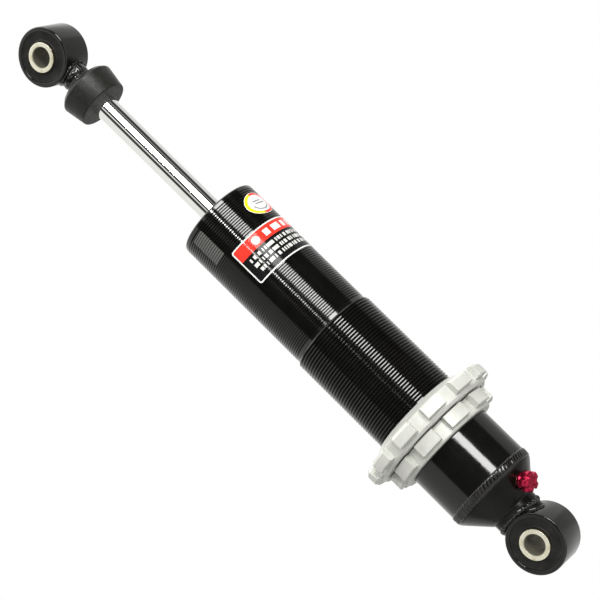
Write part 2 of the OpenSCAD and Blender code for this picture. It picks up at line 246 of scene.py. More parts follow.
class Nodes(Tree):
    """Short names for the nodes that the materials are made of."""

    def __init__(self, name):
        self.mat = bpy.data.materials.new(name)
        self.mat.use_nodes = True
        super().__init__(self.mat.node_tree)
        self.bsdf = self.tree.nodes["Principled BSDF"]
        self.coord = self.new("ShaderNodeTexCoord")

    def place(self, scale=(1, 1, 1)):
        m = self.new("ShaderNodeMapping")
        m.inputs["Scale"].default_value = scale
        self.link(self.coord.outputs["Object"], m.inputs["Vector"])
        return m.outputs["Vector"]

    def noise(self, scale, detail=4.0, rough=0.55, where=None, seed=0.0):
        n = self.new("ShaderNodeTexNoise", noise_dimensions="4D")
        n.inputs["W"].default_value = seed
        n.inputs["Scale"].default_value = scale
        n.inputs["Detail"].default_value = detail
        n.inputs["Roughness"].default_value = rough
        self.link(where or self.coord.outputs["Object"], n.inputs["Vector"])
        return n.outputs["Fac"]

    def spread(self, value, low, high, to_low=0.0, to_high=1.0):
        r = self.new("ShaderNodeMapRange")
        for key, x in zip(("From Min", "From Max", "To Min", "To Max"), (low, high, to_low, to_high)):
            r.inputs[key].default_value = x
        self.link(value, r.inputs["Value"])
        return r.outputs["Result"]

    def blend(self, share, a, b):
        m = self.new("ShaderNodeMix", data_type="RGBA", blend_type="MIX")
        for key, x in ((0, share), (6, a), (7, b)):
            if isinstance(x, (int, float)):
                m.inputs[key].default_value = x
            elif isinstance(x, tuple):
                m.inputs[key].default_value = (*x, 1.0)
            else:
                self.link(x, m.inputs[key])
        return m.outputs[2]

    def bump(self, height, distance, under=None):
        b = self.new("ShaderNodeBump")
        b.inputs["Distance"].default_value = distance
        b.inputs["Strength"].default_value = 1.0
        self.link(height, b.inputs["Height"])
        if under:
            self.link(under, b.inputs["Normal"])
        return b.outputs["Normal"]

    def done(self, **sockets):
        for key, x in sockets.items():
            s = self.bsdf.inputs[key.replace("_", " ")]
            if isinstance(x, (int, float)):
                s.default_value = x
            elif isinstance(x, tuple):
                s.default_value = (*x, 1.0)
            else:
                self.link(x, s)
        return self.mat


def gloss_paint(name, dark, light, rough, peel=0.00003, ior=1.5):
    """Black enamel: orange peel, faint dust specks and uneven polish."""
    m = Nodes(name)
    cloud = m.noise(90, 5, 0.6)
    speck = m.spread(m.noise(1500, 2, 0.5, seed=3), 0.66, 0.78)
    colour = m.blend(m.spread(cloud, 0.35, 0.7), dark, light)
    colour = m.blend(m.math("MULTIPLY", speck, 0.25), colour, (0.05, 0.05, 0.05))
    streak = m.noise(60, 6, 0.7, m.place((14, 14, 1)), 5)
    roughness = m.spread(m.math("ADD", m.noise(260, 4, seed=7), streak), 0.7, 1.3, rough * 0.75, rough * 1.45)
    normal = m.bump(m.noise(420, 3, 0.5, seed=9), peel)
    return m.done(Base_Color=colour, Roughness=roughness, Normal=normal, IOR=ior)


def rubber(name, dark, light, rough, grain, ior=1.5):
    """Moulded rubber: mottled, with a fine grain."""
    m = Nodes(name)
    cloud = m.noise(130, 6, 0.65, seed=1)
    colour = m.blend(m.spread(cloud, 0.35, 0.68), dark, light)
    roughness = m.spread(m.noise(500, 4, seed=2), 0.3, 0.7, rough - 0.1, rough + 0.12)
    fine = m.bump(m.noise(2400, 3, 0.6, seed=4), grain)
    normal = m.bump(m.noise(240, 4, 0.5, seed=6), grain * 3, fine)
    return m.done(Base_Color=colour, Roughness=roughness, Normal=normal, IOR=ior)


def metal(name, dark, light, rough, metallic=1.0, grain=0.00001, turned=0.0, stain=None, bore=0.0):
    """Metal with uneven polish.

    turned adds fine lathe lines across the object's Z. bore is the radius in millimetres of a hole along
    the Y of a sleeve: inside it and on its chamfer the colour is darkened as painted shade and the finish
    is rougher, and the sleeve's outer side is darkened as painted shade; its ends are not.
    """
    m = Nodes(name)
    cloud = m.noise(160, 5, 0.6, seed=1)
    colour = m.blend(m.spread(cloud, 0.3, 0.7), dark, light)
    if stain:
        colour = m.blend(m.spread(m.noise(320, 5, 0.6, seed=12), 0.5, 0.75), colour, stain)
    roughness = m.spread(m.noise(420, 4, 0.6, seed=2), 0.3, 0.7, rough * 0.8, rough * 1.25)
    normal = m.bump(m.noise(2600, 3, 0.6, seed=4), grain)
    if turned:
        normal = m.bump(m.noise(900, 3, 0.6, m.place((0.02, 0.02, 4)), 8), turned, normal)
    if bore:
        far = m.new("ShaderNodeVectorMath", operation="LENGTH")
        m.link(m.place((1, 0, 1)), far.inputs[0])
        # inside the hole and on its chamfer: colour darkened as painted shade, finish made rougher
        hole_shade_and_rough = m.spread(far.outputs["Value"], (bore - 0.2) * MM, (bore + 0.1) * MM, 1.0, 0.0)
        colour = m.blend(hole_shade_and_rough, colour, (0.17, 0.163, 0.125))
        # the sleeve's outer side darkened to dark brown as painted shade
        side = m.spread(far.outputs["Value"], (SLEEVE_R - 0.2) * MM, (SLEEVE_R - 0.05) * MM)
        colour = m.blend(side, colour, (0.09, 0.07, 0.035))
        roughness = m.math("ADD", roughness, m.math("MULTIPLY", hole_shade_and_rough, 0.25))
    return m.done(Base_Color=colour, Roughness=roughness, Metallic=metallic, Normal=normal)


PAINT = gloss_paint("body_paint", (0.0028, 0.0028, 0.0022), (0.005, 0.005, 0.0042), 0.09, 0.000015, 1.56)
FRAME_PAINT = gloss_paint("frame_paint", (0.003, 0.003, 0.0024), (0.006, 0.006, 0.005), 0.1, 0.00003)
CAP_PAINT = gloss_paint("cap_paint", (0.0025, 0.0025, 0.002), (0.005, 0.005, 0.004), 0.2, 0.00003, 1.28)
BUSH_RUBBER = rubber("bush_rubber", (0.006, 0.006, 0.005), (0.02, 0.02, 0.018), 0.5, 0.00002, 1.25)
STOP_RUBBER = rubber("stop_rubber", (0.007, 0.007, 0.006), (0.014, 0.014, 0.012), 0.42, 0.00001, 1.38)
SEAL_RUBBER = rubber("seal_rubber", (0.01, 0.01, 0.01), (0.018, 0.018, 0.018), 0.4, 0.00001)
# zinc sleeves: with bore 5.6, painted shade in the bolt hole, on its chamfer and on the outer side
ZINC = metal(
    "zinc_plate", (0.72, 0.68, 0.48), (0.88, 0.87, 0.76), 0.34, 0.7, 0.00001, 0, (0.5, 0.44, 0.24), 5.6
)
ANODISED_BLACK = metal("black_anodised", (0.03, 0.03, 0.032), (0.055, 0.055, 0.06), 0.35, 0.7)
BRONZE = metal("bronze_bush", (0.38, 0.26, 0.12), (0.55, 0.4, 0.2), 0.35)
STEEL = metal("spring_steel", (0.42, 0.42, 0.43), (0.6, 0.6, 0.61), 0.3)
BARE_ALU = metal("bare_aluminium", (0.68, 0.69, 0.7), (0.82, 0.83, 0.84), 0.28, 1.0, 0.00001, 0.00001)
RING_ALU = metal("ring_aluminium", (0.5, 0.505, 0.467), (0.58, 0.585, 0.545), 0.45, 0.12, 0.00002)
BAND = rubber("band_plastic", (0.16, 0.12, 0.08), (0.24, 0.18, 0.12), 0.5, 0.00001)
CHROME = metal("shaft_chrome", (0.82, 0.83, 0.81), (0.87, 0.88, 0.86), 0.035, 1.0, 0.0000003)
BRASS = metal("valve_brass", (0.3, 0.23, 0.1), (0.44, 0.35, 0.17), 0.36)
CRIMSON = metal("red_anodised", (0.26, 0.004, 0.022), (0.5, 0.02, 0.07), 0.18, 0.85, 0.00001)


# ---------------------------------------------------------------- body tube

def tube_envelope(z):
    """Outside radius of the tube where it carries the full thread."""
    edge = THREAD_TOP - 0.9
    return TUBE_R if z <= edge else mix(TUBE_R, FINE_R, min(1.0, (z - edge) / 0.9))


def body_tube():
    n, per_turn = 120, 8
    # one turn of the thread: share of the pitch, depth
    groove = (
        (0, 0), (0.04, 0.06), (0.34, 0.84), (0.37, DEPTH), (0.4, 0.84), (0.7, 0.06), (0.74, 0), (0.87, 0),
    )
    low, high = THREAD_Z, THREAD_TOP
    rows = []

    def plain(r, z):
        rows.append([(r, z)] * n)

    plain(BORE_R, JOINT_Z)
    plain(WELD_ROOT_R, JOINT_Z)
    plain(TUBE_R, JOINT_Z + WELD_HALF)
    plain(TUBE_R, JOINT_Z + WELD_HALF + 0.15)
    for k in range(1, 8):
        plain(TUBE_R, mix(JOINT_Z + WELD_HALF, low, k / 8))
    first = len(rows)
    count = per_turn * (math.ceil((high - low) / PITCH) + 1)
    for i in range(count + 1):
        turn, k = divmod(i, per_turn)
        row = []
        for j in range(n):
            z = low + (turn - 1 + groove[k][0] + j / n) * PITCH
            deep = groove[k][1] * smooth((z - low) / (1.3 * PITCH))
            z = min(high, max(low, z))
            row.append((min(tube_envelope(z), TUBE_R - deep if low < z < high else TUBE_R), z))
        rows.append(row)
    last = len(rows) - 1
    z = FINE_START
    while z < TUBE_TOP - 1.3 - FINE_PITCH:
        for f, d in ((0, 0), (0.29, 1), (0.31, 1), (0.6, 0)):
            plain(FINE_R - d * FINE_DEPTH, z + f * FINE_PITCH)
        z += FINE_PITCH
    rim = fillet([
        (FINE_R, z, 0), (FINE_R, TUBE_TOP, 1.3), (BORE_R, TUBE_TOP, 0.35), (BORE_R, CLIP_TOP + 0.2, 0)
    ], False, 6)
    for r, rim_z in rim:
        plain(r, rim_z)
    plain(CLIP_R, CLIP_TOP)
    plain(CLIP_R, CLIP_LOW)
    plain(BORE_R, CLIP_LOW)
    plain(BORE_R, 130.0)
    verts = [polar(r, TAU * j / n, z) for row in rows for j, (r, z) in enumerate(row)]
    faces, total = [], len(rows)
    for i in range(total):
        up = (i + 1) % total
        for j in range(n):
            a, b = i, up
            if j == n - 1 and first <= i < last:
                a, b = min(i + per_turn, last), min(up + per_turn, last)
            k = (j + 1) % n
            faces.append((i * n + j, a * n + k, b * n + k, up * n + j))
    piece("tube", (verts, faces), "damper_body", PAINT, ["body_tube"], 40)


body_tube()


# ---------------------------------------------------------------- weld beads

def girth_weld():
    ripples, per = 70, 10
    n, steps = ripples * per, 16
    rng = random.Random(11)
    size = [rng.uniform(0.5, 1.3) for _ in range(ripples)]
    verts = []
    for i in range(steps + 1):
        s = -1 + 2 * i / steps
        hump = (1 - s ** 6) * (1 + 0.25 * s)
        for j in range(n):
            u = j / per - 0.5 * s * s - 0.4 * s + 2
            f = u % 1.0
            ridge = size[int(u) % ripples] * math.sin(math.pi * f ** 0.8) ** 1.3
            r = TUBE_R - 0.1 - 0.1 * (1 - s) + 0.38 * hump + 0.26 * ridge * (1 - s ** 8)
            z = JOINT_Z - 0.1 + s * (WELD_HALF + 0.2) + 0.06 * math.sin(j * TAU / n * 31)
            verts.append(polar(r, TAU * j / n, z))
    faces = band_faces(steps + 1, n, False)
    root = len(verts)
    verts += circle(WELD_ROOT_R, JOINT_Z, n)
    top = steps * n
    for j in range(n):
        k = (j + 1) % n
        faces.append((top + j, top + k, root + k, root + j))
        faces.append((root + j, root + k, k, j))
    piece("weld", (verts, faces), "damper_body", FRAME_PAINT, ["girth_weld"], 50)


girth_weld()


def bead(path, radius, ripple, seed):
    """A weld bead: a rippled tube along a closed loop of millimetre points."""
    rng = random.Random(seed)
    n, around = len(path), 12
    verts = []
    phase = rng.uniform(0, 1)
    for i, p in enumerate(path):
        here = Vector(p)
        ahead = Vector(path[(i + 1) % n]) - Vector(path[i - 1])
        ahead.normalize()
        side = ahead.cross(Vector((0, 0, 1))).normalized()
        up = side.cross(ahead)
        f = (i / 6 + phase) % 1.0
        r = radius * (1 + ripple * ((1 - f) * smooth(f * 5) - 0.4) + rng.uniform(-0.02, 0.02))
        for k in range(around):
            a = TAU * k / around
            verts.append(tuple(here + side * (r * math.cos(a)) + up * (r * math.sin(a))))
    return verts, band_faces(n, around, True)


# ---------------------------------------------------------------- end cap and eyes

def saddle(radius_x, radius_y, reach, n):
    """Points round a neck where it meets a cylinder of that radius along Y."""
    pts = []
    for j in range(n):
        a = TAU * j / n
        x, y = radius_x * math.cos(a), radius_y * math.sin(a)
        pts.append((x, y, math.sqrt(max(0.0, reach * reach - x * x))))
    return pts


def end_cap():
    n = 144
    profile = fillet([
        (NECK_R, 14.0, 0), (NECK_R, CONE_LOW[1] - 0.7, 0.9), (*CONE_LOW, 0.5), (*CONE_TOP, 2.4),
        (TUBE_R - 0.15, 31.6, 0)
    ], False, 7)
    rows = []
    # the neck flattens towards the width of the eye ring
    inside = saddle(NECK_R, NECK_SIDE, 14.0, n)
    rows.append(inside)
    for t in (0.0, 0.2, 0.4, 0.6, 0.8, 1.0):
        row = []
        for j in range(n):
            a = TAU * j / n
            wide = mix(NECK_SIDE, NECK_R, smooth(t))
            z = mix(inside[j][2] + 0.3, NECK_ROUND_Z, t)
            row.append((NECK_R * math.cos(a), wide * math.sin(a), z))
        rows.append(row)
    for r, z in profile[1:]:
        rows.append(circle(r, z, n))
    for r, z in ((WELD_ROOT_R, JOINT_Z), (BORE_R, JOINT_Z), (BORE_R, 31.0), (9.0, FLOOR_Z)):
        rows.append(circle(r, z, n))
    verts = [v for row in rows for v in row]
    faces = band_faces(len(rows), n, False)
    top, bottom = len(verts), len(verts) + 1
    verts += [(0, 0, FLOOR_Z), (0, 0, 13.8)]
    base = (len(rows) - 1) * n
    for j in range(n):
        faces.append((base + j, base + (j + 1) % n, top))
        faces.append(((j + 1) % n, j, bottom))
    ob = piece("cap_end", (verts, faces), "damper_body", CAP_PAINT, ["end_cap"], 40)
    # hole for the valve's stub, and a seat for its flange
    seat_r, clear = FLANGE_R + 0.9, 30
    verts, faces = revolve([
        (STUB_R, STUB_LOW), (STUB_R, 0), (seat_r, 0), (seat_r, clear), (0, clear), (0, STUB_LOW)
    ], 48)
    cut(ob, on_valve(verts), faces)
    shade(ob.data, 40)


VALVE_TURN, VALVE_LEAN, VALVE_Z, VALVE_SEAT = math.radians(-17), math.radians(48), 24.8, 0.9
VALVE_R = mix(CONE_LOW[0], CONE_TOP[0], (VALVE_Z - CONE_LOW[1]) / (CONE_TOP[1] - CONE_LOW[1]))
VALVE_PLACE = (
    Matrix.Rotation(VALVE_TURN, 4, "Z")
    @ Matrix.Translation((VALVE_R, 0, VALVE_Z))
    @ Matrix.Rotation(math.pi - VALVE_LEAN, 4, "Y")
    @ Matrix.Translation((0, 0, -VALVE_SEAT))
)


def on_valve(verts):
    return [tuple(VALVE_PLACE @ Vector(v)) for v in verts]


end_cap()


def upper_neck(z):
    """The welded stub between the shaft and the upper ring, with a rounded foot against the bump stop."""
    low, seat, n = STOP_TOP, z - NECK_REACH, 96
    neck = fillet([
        (5.0, low, 0), (8.3, low, 0.5), (8.3, low + 2.0, 0.9), (7.1, low + 2.6, 0.3), (7.1, low + 3.4, 0),
        (7.3, low + 4.2, 0), (7.3, low + 5.0, 0), (7.3, low + 5.8, 0), (7.3, low + 6.6, 0), (7.3, seat, 0),
        (5.0, seat, 0)
    ], True, 4)
    rng = random.Random(3)
    lumps = [
        (rng.uniform(0, TAU), rng.uniform(low + 3.2, low + 9), rng.uniform(0.2, 0.45)) for _ in range(34)
    ]
    lumps += [(math.radians(-31 + 5 * (k % 2)), low + 3.6 + 1.35 * k, 0.75) for k in range(5)]
    verts = []
    for r, zz in neck:
        for j in range(n):
            a, here = TAU * j / n, r
            if r > 7 and low + 3 < zz < seat - 0.1:
                for la, lz, size in lumps:
                    across = ((a - la + math.pi) % TAU - math.pi) * 7.3
                    here += size * math.exp(-(across ** 2 + (zz - lz) ** 2) / 0.9)
            x, y = here * math.cos(a), here * math.sin(a)
            verts.append((x, y, z - math.sqrt(NECK_REACH ** 2 - x * x) if zz > seat - 0.1 else zz))
    return verts, band_faces(len(neck), n, True)


def eye(which, z, body):
    ring = fillet([
        (RING_IN_R, -EYE_W / 2, 0.35), (EYE_R, -EYE_W / 2, 0.7),
        (EYE_R, EYE_W / 2, 0.7), (RING_IN_R, EYE_W / 2, 0.35)
    ], True, 5)
    verts, faces = revolve(ring, 144)
    ring_shape = (along_y(verts, z), faces)
    if which == "lower":
        path = [(x, y, pz + 0.2) for x, y, pz in saddle(11.9, 8.2, EYE_R, 150)]
        second = []
        for j in range(150):
            a = TAU * j / 150
            foot = math.sqrt(EYE_R ** 2 - (11.9 * math.cos(a)) ** 2)
            second.append((0.93 * NECK_R * math.cos(a), 10.1 * math.sin(a), mix(foot, NECK_ROUND_Z, 0.6)))
        welds = [bead(path, 0.85, 0.22, 4), bead(second, 1.5, 0.4, 9)]
    else:
        path = [(x, y, z - pz - 0.1) for x, y, pz in saddle(7.6, 7.6, EYE_R, 90)]
        welds = [bead(path, 0.95, 0.3, 7), upper_neck(z)]
    shape = merged(ring_shape, *welds)
    piece(which + "_eye", shape, body, FRAME_PAINT, [which + "_eye_ring"], 38)
    half = BUSH_W / 2
    bush = fillet([
        (SLEEVE_R, -half - 0.1, 0), (SLEEVE_R + 0.7, -half - 0.1, 0.3), (SLEEVE_R + 1.2, -half + 0.35, 0.4),
        (RING_IN_R - 1.2, -half + 0.25, 0.4), (RING_IN_R - 0.5, -half, 0.25), (RING_IN_R, -half + 0.1, 0),
        (RING_IN_R, half - 0.1, 0), (RING_IN_R - 0.5, half, 0.25), (RING_IN_R - 1.2, half - 0.25, 0.4),
        (SLEEVE_R + 1.2, half - 0.35, 0.4), (SLEEVE_R + 0.7, half + 0.1, 0.3), (SLEEVE_R, half + 0.1, 0),
    ], True, 4)
    verts, faces = revolve(bush, 128)
    shape = (along_y(verts, z), faces)
    piece(which + "_bush", shape, body, BUSH_RUBBER, [which + "_eye_bush"])
    half = SLEEVE_W / 2
    sleeve = fillet([
        (BOLT_R, -half + 0.5, 0), (BOLT_R + 0.5, -half, 0.15), (SLEEVE_R, -half, 0.35),
        (SLEEVE_R, half, 0.35), (BOLT_R + 0.5, half, 0.15), (BOLT_R, half - 0.5, 0),
    ], True, 4)
    verts, faces = revolve(sleeve, 128)
    shape = (along_y(verts, z), faces)
    piece(which + "_sleeve", shape, body, ZINC, [which + "_eye_sleeve"], 32, z)


eye("lower", 0.0, "damper_body")
eye("upper", EYE_Z, "shaft_assembly")


# ---------------------------------------------------------------- bump stop

def bump_stop():
    profile = fillet([
        (SHAFT_R, STOP_LOW, 0), (13.45, STOP_LOW, 0.6), (15.4, 316.2, 1.2), (13.4, 318.3, 1.5),
        (11.0, STOP_TOP, 0.8), (SHAFT_R, STOP_TOP, 0)
    ], True, 6)
    piece("stop", revolve(profile, 128), "shaft_assembly", STOP_RUBBER, ["bump_stop"])


bump_stop()


# ---------------------------------------------------------------- preload rings

def ring_with_lugs(name, body, node, lugs, arc, phase, rows_of, bevel):
    """A threaded ring with evenly spaced lugs.

    rows_of(out) gives the closed profile at a place round the ring; out is 0 in a gap and 1 on a lug.
    """
    angles, step = [], 360 / lugs
    for i in range(lugs):
        mid = phase + i * step
        half, side = arc / 2, 0.55
        for k in range(9):
            angles.append((mid + mix(-half + side, half - side, k / 8), 1.0))
        angles.append((mid + half, 0.0))
        gap = step - arc
        for k in range(1, 5):
            angles.append((mid + half + gap * k / 5, 0.0))
        angles.append((mid + step - half, 0.0))
    n = len(angles)
    columns = [rows_of(out) for _, out in angles]
    count = len(columns[0])
    verts = []
    for i in range(count):
        for j, (deg, _) in enumerate(angles):
            r, z = columns[j][i]
            verts.append(polar(r, math.radians(deg), z))
    ob = piece(name, (verts, band_faces(count, n, True)), body, RING_ALU, [node])
    mod = ob.modifiers.new("bevel", "BEVEL")
    mod.width, mod.segments, mod.limit_method, mod.angle_limit = bevel * MM, 2, "ANGLE", math.radians(28)
    mod.harden_normals = True


def collar_rows(out):
    r = mix(34.1, 37.75, out)
    cut_low, cut_top = 0.35 * out, 1.5 * out
    return [
        (RING_BORE_R, 69.9), (32.9, 69.9), (34.1, 71.1), (34.1, 72.1), (r - cut_low, 72.1),
        (r, 72.1 + cut_low),
        (r, 78.8 - cut_top), (r - cut_top, 78.8), (32.4, 78.8), (24.3, 82.6), (RING_BORE_R, 82.6)
    ]


def lock_rows(out):
    r = mix(27.4, 31.0, out)
    cut_low, cut_top = 0.3 * out, 0.5 * out
    return [
        (RING_BORE_R, 60.8), (26.7, 60.8), (27.4, 61.5), (27.4, 62.4), (r - cut_low, 62.4),
        (r, 62.4 + cut_low),
        (r, 69.3 - cut_top), (r - cut_top, 69.3), (26.0, 69.3), (24.2, 69.3), (RING_BORE_R, 69.3)
    ]


ring_with_lugs("spring_collar", "preload_collar", "preload_collar", 12, 18.5, 13, collar_rows, 0.22)
ring_with_lugs("lock_nut", "lock_ring", "lock_ring", 10, 23.5, 1.2, lock_rows, 0.2)


# ---------------------------------------------------------------- gas valve

def valve():
    crests = [(2.55 if k % 2 else 2.35, 1.2 + 0.3 * k, 0) for k in range(12)]
    body = fillet([
        (1.25, STUB_LOW, 0), (STUB_R, STUB_LOW, 0), (STUB_R, 0, 0), (FLANGE_R, 0, 0), (FLANGE_R, 0.5, 0.15),
        (2.55, 0.5, 0.1), *crests, (2.5, 5.1, 0.1), (2.15, 5.4, 0), (1.25, 5.4, 0)
    ], True, 3)
    verts, faces = revolve(body, 64)
    piece("valve", (on_valve(verts), faces), "damper_body", BRASS, ["valve_body"])

    n, notches, head = 160, 5, 5.1

    def outline(j):
        """Radius of the head, with its round notches."""
        share = (j / n * notches) % 1.0
        a = TAU / notches * min(share, 1 - share)
        reach, r = 5.8, 1.9
        if math.sin(a) * reach >= r:
            return head
        return min(head, reach * math.cos(a) - math.sqrt(r * r - (reach * math.sin(a)) ** 2))

    profile = [
        (2.63, 0.55), (3.4, 0.55), (3.75, 0.8), (3.8, 1.1), (3.8, 2.0), (3.5, 2.5), (3.5, 2.8),
        (-0.5, 2.95), (-0.15, 3.1), (0, 3.4), (0, 6.7), (-0.12, 7.1), (-0.4, 7.45), (-0.85, 7.7), (-1.4, 7.8),
        (2.0, 7.8), (1.6, 7.45), (0, 7.45), (0, 5.8), (2.63, 5.8)
    ]
    verts = []
    for i, (r, z) in enumerate(profile):
        for j in range(n):
            # these points of the profile are measured from the notched outline, the rest from the axis
            here = outline(j) + r if 7 <= i <= 14 else r
            verts.append(polar(here, TAU * j / n, z))
    faces = band_faces(len(profile), n, True)
    piece("valve_dust_cap", (on_valve(verts), faces), "valve_cap", CRIMSON, ["valve_cap"], 30)


valve()


# ---------------------------------------------------------------- labels

def label_piece(name, verts, faces, uvs, node, stuff):
    """A label from millimetre vertices, with its print laid on by the vertices' places in the UV square."""
    mesh = mesh_of(name, verts, faces)
    layer = mesh.uv_layers.new(name="UVMap")
    for loop in mesh.loops:
        layer.data[loop.index].uv = uvs[loop.vertex_index]
    finish_piece(shown(name, mesh), "damper_body", stuff, [node], 60)


def wrap(name, azimuth, size, node, stuff, ripple):
    """A thin label bent round the turned part of the tube, centred at that many degrees round Z.

    size is half its width, its low and high edges and its corners' radius, in millimetres; ripple is
    how far it follows the fine thread under it.
    """
    half_u, low, high, radius = size
    steps_u, steps_v = 120, 68
    verts, uvs = [], []
    for layer in (LABEL_THICK, 0.0):
        for i in range(steps_v + 1):
            for j in range(steps_u + 1):
                u, v = -1 + 2 * j / steps_u, -1 + 2 * i / steps_v
                x, y = round_corner(u * half_u, v * (high - low) / 2, half_u, (high - low) / 2, radius)
                z = (low + high) / 2 + y
                wave = ripple * math.cos(TAU * z / FINE_PITCH) if layer else 0.0
                r = FINE_R + layer * (1 - 0.25 * ripple) + wave * 0.02
                verts.append(polar(r, math.radians(azimuth) + x / FINE_R, z))
                uvs.append((x / half_u / 2 + 0.5, y / (high - low) + 0.5))
    w = steps_u + 1
    layer_size = w * (steps_v + 1)
    faces = []
    for i in range(steps_v):
        for j in range(steps_u):
            a = i * w + j
            faces.append((a, a + 1, a + 1 + w, a + w))
            b = a + layer_size
            faces.append((b, b + w, b + 1 + w, b + 1))
    rim = [j for j in range(w)] + [i * w + steps_u for i in range(1, steps_v + 1)]
    rim += [steps_v * w + j for j in range(steps_u - 1, -1, -1)] + [i * w for i in range(steps_v - 1, 0, -1)]
    for k in range(len(rim)):
        a, b = rim[k], rim[(k + 1) % len(rim)]
        faces.append((b, a, a + layer_size, b + layer_size))
    label_piece(name, verts, faces, uvs, node, stuff)


def round_corner(x, y, hx, hy, r):
    """Pulls a point of a rectangle in so that its outline has round corners."""
    cx, cy = max(0.0, abs(x) - (hx - r)), max(0.0, abs(y) - (hy - r))
    if cx > 0 and cy > 0:
        m = max(cx, cy)
        s = m / math.hypot(cx, cy)
        cx, cy = cx * s, cy * s
        x = math.copysign(hx - r + cx, x)
        y = math.copysign(hy - r + cy, y)
    return x, y


class Drawn(Nodes):
    """A flat graphic in the label's own UV square, measured in millimetres from its middle."""

    def __init__(self, name, width, height):
        super().__init__(name)
        part = self.new("ShaderNodeSeparateXYZ")
        self.link(self.coord.outputs["UV"], part.inputs[0])
        self.x = self.math("MULTIPLY", self.math("SUBTRACT", part.outputs[0], 0.5), width)
        self.y = self.math("MULTIPLY", self.math("SUBTRACT", part.outputs[1], 0.5), height)

    def distance(self, x, y):
        return self.math("SQRT", self.math("ADD", self.math("MULTIPLY", x, x), self.math("MULTIPLY", y, y)))

    def box(self, cx, cy, hx, hy, r=0.0, soft=0.06):
        """1 inside a rectangle with round corners."""
        dx = self.math("SUBTRACT", self.math("ABSOLUTE", self.math("SUBTRACT", self.x, cx)), hx - r)
        dy = self.math("SUBTRACT", self.math("ABSOLUTE", self.math("SUBTRACT", self.y, cy)), hy - r)
        ox, oy = self.math("MAXIMUM", dx, 0.0), self.math("MAXIMUM", dy, 0.0)
        far = self.distance(ox, oy)
        near = self.math("MINIMUM", self.math("MAXIMUM", dx, dy), 0.0)
        return self.spread(self.math("SUBTRACT", self.math("ADD", far, near), r), -soft, soft, 1.0, 0.0)

    def disc(self, r, cx=0.0, cy=0.0, soft=0.08):
        dx, dy = self.math("SUBTRACT", self.x, cx), self.math("SUBTRACT", self.y, cy)
        far = self.distance(dx, dy)
        return self.spread(self.math("SUBTRACT", far, r), -soft, soft, 1.0, 0.0)

    def dashes(self, cy, hy, length, seed):
        """A row of plain bars of uneven length."""
        n = self.new("ShaderNodeTexNoise", noise_dimensions="1D")
        n.inputs["Scale"].default_value = length
        n.inputs["Detail"].default_value = 0.0
        self.link(self.math("ADD", self.x, seed * 37.0), n.inputs["W"])
        bars = self.spread(n.outputs["Fac"], 0.44, 0.47)
        band = self.spread(self.math("ABSOLUTE", self.math("SUBTRACT", self.y, cy)), hy, hy + 0.05, 1.0, 0.0)
        return self.math("MULTIPLY", bars, band)


def label_finish(m, colour, rough):
    mark = m.noise(700, 3, 0.6, seed=2)
    roughness = m.spread(mark, 0.3, 0.7, rough * 0.8, rough * 1.3)
    normal = m.bump(m.noise(500, 2, seed=5), 0.000004)
    return m.done(Base_Color=colour, Roughness=roughness, Normal=normal, IOR=1.27)


LABEL_ARC, LABEL_LOW, LABEL_HIGH = 129.0, 176.1, 197.0


def main_label():
    width, height = math.radians(LABEL_ARC) * FINE_R, LABEL_HIGH - LABEL_LOW
    m = Drawn("label_print", width, height)
    white, red, black = (0.8, 0.8, 0.77), (0.92, 0.045, 0.03), (0.008, 0.008, 0.008)
    inner_x, inner_y = width / 2 - 0.65, height / 2 - 0.65
    tint = m.blend(m.spread(m.noise(220, 4, seed=8), 0.3, 0.7), red, (0.8, 0.035, 0.022))
    colour = m.blend(m.box(0, 0, inner_x, inner_y, 0.9), white, black)
    band_y, band_half = inner_y - 3.45, 3.2
    colour = m.blend(m.box(0, band_y, inner_x - 0.2, band_half, 0.5), colour, tint)
    rows = None
    for k, y in enumerate((0.55, -2.75, -5.95)):
        row = m.dashes(y, 0.95, 0.7, k + 1)
        rows = row if rows is None else m.math("MAXIMUM", rows, row)
    rows = m.math("MULTIPLY", rows, m.box(0.6, 0, inner_x - 2.9, inner_y - 0.6))
    colour = m.blend(m.math("MULTIPLY", rows, 0.8), colour, white)
    bars = m.math("MULTIPLY", m.dashes(band_y, 1.75, 0.4, 9), m.box(9.0, 0, inner_x - 9.0, inner_y))
    dot = m.disc(2.1, -inner_x + 12.5, band_y)
    colour = m.blend(m.math("MULTIPLY", m.math("MAXIMUM", bars, dot), 0.9), colour, white)
    stuff = label_finish(m, colour, 0.1)
    size = (width / 2, LABEL_LOW, LABEL_HIGH, 1.2)
    wrap("body_label", -16.0, size, "main_label", stuff, 0.25)


def code_patch():
    low, high = 199.6, 216.1
    width = math.radians(22.0) * FINE_R
    m = Drawn("patch_print", width, high - low)
    # light and dark lines at the fine thread's pitch: painted highlight and shade of the thread ridges under
    # the patch
    thread_ridge_shading = m.math("SINE", m.math("MULTIPLY", m.y, TAU / FINE_PITCH))
    colour = m.blend(m.spread(thread_ridge_shading, -0.6, 0.6), (0.03, 0.03, 0.028), (0.13, 0.13, 0.125))
    stuff = label_finish(m, colour, 0.3)
    wrap("small_patch", -97.5, (width / 2, low, high, 0.5), "code_patch", stuff, 1.0)


